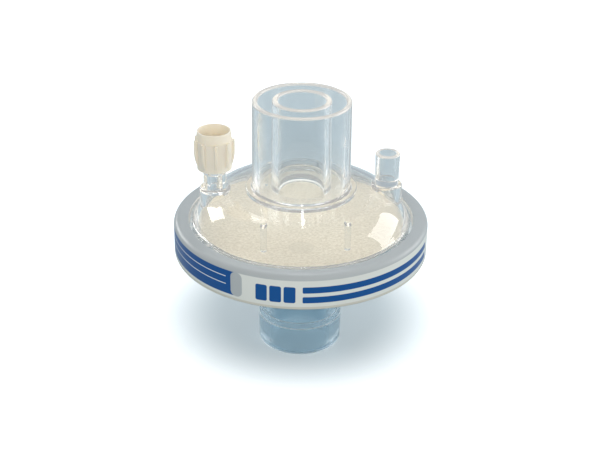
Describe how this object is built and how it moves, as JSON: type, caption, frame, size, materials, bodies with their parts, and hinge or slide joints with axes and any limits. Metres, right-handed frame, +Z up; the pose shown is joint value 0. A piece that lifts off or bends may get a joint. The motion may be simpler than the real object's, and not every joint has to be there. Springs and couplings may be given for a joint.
{
  "type": "breathing circuit filter",
  "caption": "Clear disc-shaped breathing filter with a coaxial port above, a conical port below, a belt ring round its edge and a capped luer port.",
  "frame": {"origin": "on the ports' axis, at the mouth of the lower port, where the filter stands", "axes": "+Z up the ports' axis towards the coaxial port; -Y is the front; +X is the side of the parking stub"},
  "size_m": [0.0662, 0.0662, 0.0686],
  "materials": {
    "clear_plastic": "clear glossy moulded plastic",
    "belt_plastic": "translucent blue-grey moulded plastic with printed colour fields",
    "felt": "cream non-woven felt",
    "medium_paper": "cream wound corrugated paper",
    "cap_plastic": "ivory moulded plastic"
  },
  "bodies": {
    "filter_body": {"upper_housing": "clear_plastic", "lower_housing": "clear_plastic", "belt_ring": "belt_plastic", "filter_felt": "felt", "moisture_medium": "medium_paper"},
    "cap": {"luer_cap": "cap_plastic"}
  },
  "joints": [
    {"name": "cap_lift", "type": "slide", "parent": "filter_body", "child": "cap", "axis": [0, 0, 1], "range_m": [0, 0.02]}
  ]
}
